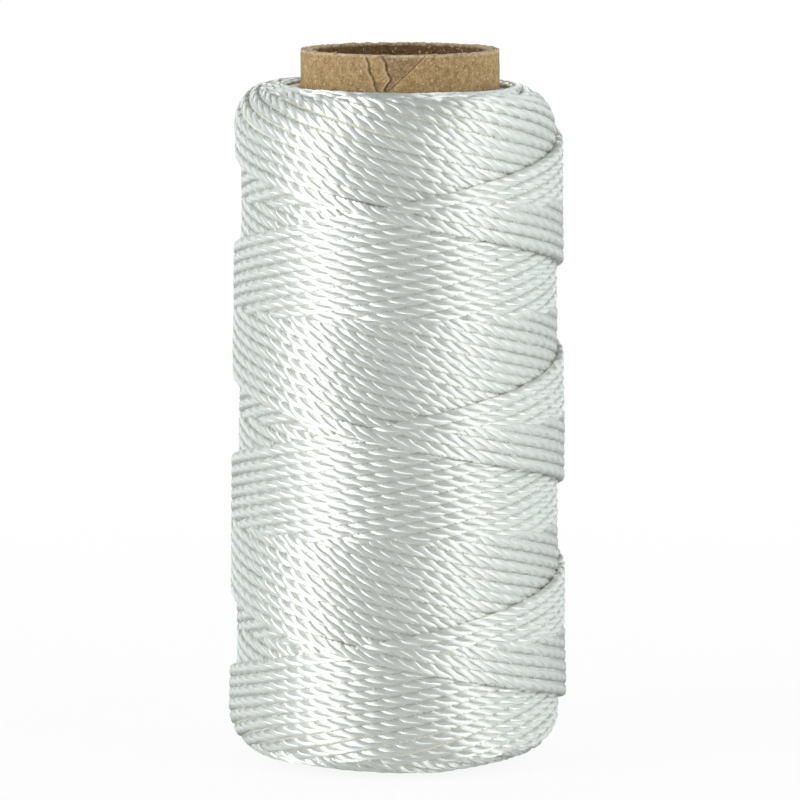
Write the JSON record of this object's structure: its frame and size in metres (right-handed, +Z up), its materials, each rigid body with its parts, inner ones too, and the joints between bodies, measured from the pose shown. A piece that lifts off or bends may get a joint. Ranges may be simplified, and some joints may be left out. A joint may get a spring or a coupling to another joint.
{
  "type": "twine spool",
  "caption": "Glossy white three-strand twine, cross-wound in even bands on an open paper tube that stands proud at the top and slips over a one inch spindle.",
  "frame": {"origin": "centre of the tube's lower end, where the spool stands", "axes": "+Z up along the tube's axis; -Y is the side pictured, with +X to its right"},
  "size_m": [0.0488, 0.0488, 0.103],
  "materials": {
    "kraft_paper": "matte brown kraft paperboard with pale fibres",
    "twine": "glossy white twisted multifilament nylon"
  },
  "bodies": {
    "root": {"inner_ply": "kraft_paper", "second_ply": "kraft_paper", "third_ply": "kraft_paper", "outer_ply": "kraft_paper", "inner_winding": "twine", "outer_winding": "twine"}
  },
  "joints": []
}
